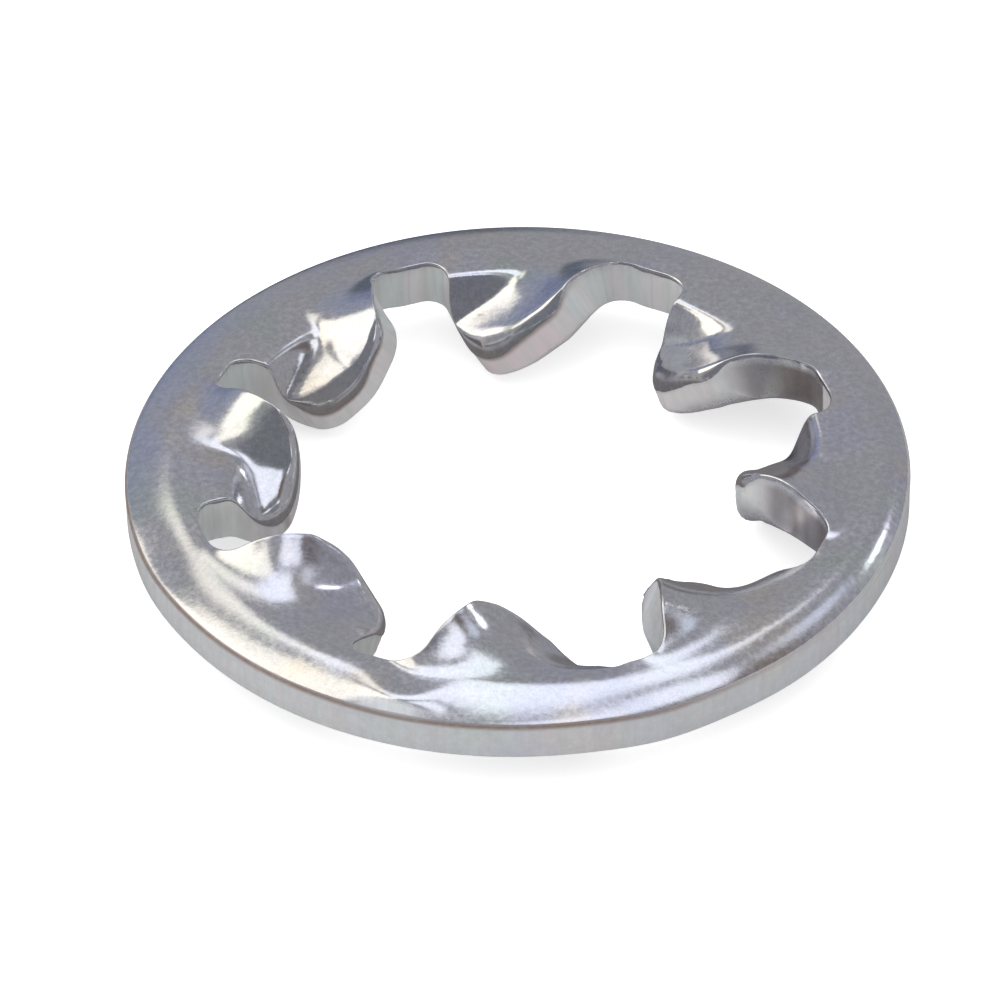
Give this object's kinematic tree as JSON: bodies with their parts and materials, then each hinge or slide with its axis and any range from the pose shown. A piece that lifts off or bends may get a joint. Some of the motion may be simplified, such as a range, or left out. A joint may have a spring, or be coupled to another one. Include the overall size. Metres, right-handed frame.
{
  "type": "toothed lock washer",
  "caption": "Internal-tooth lock washer: a stamped flat ring whose inward teeth are twisted so their edges bite both mating faces.",
  "frame": {"origin": "on the screw axis, at the level of the lowest tooth corners, which the washer rests on", "axes": "+Z along the screw axis, out of the face with the die roll; +X along the middle line of one tooth"},
  "size_m": [0.011, 0.011, 0.0016],
  "materials": {
    "zinc_plated_steel": "bright zinc plating over sheared and formed spring steel, satin on the flat ring, glossy on the formed teeth"
  },
  "bodies": {
    "root": {"lock_washer": "zinc_plated_steel"}
  },
  "joints": []
}
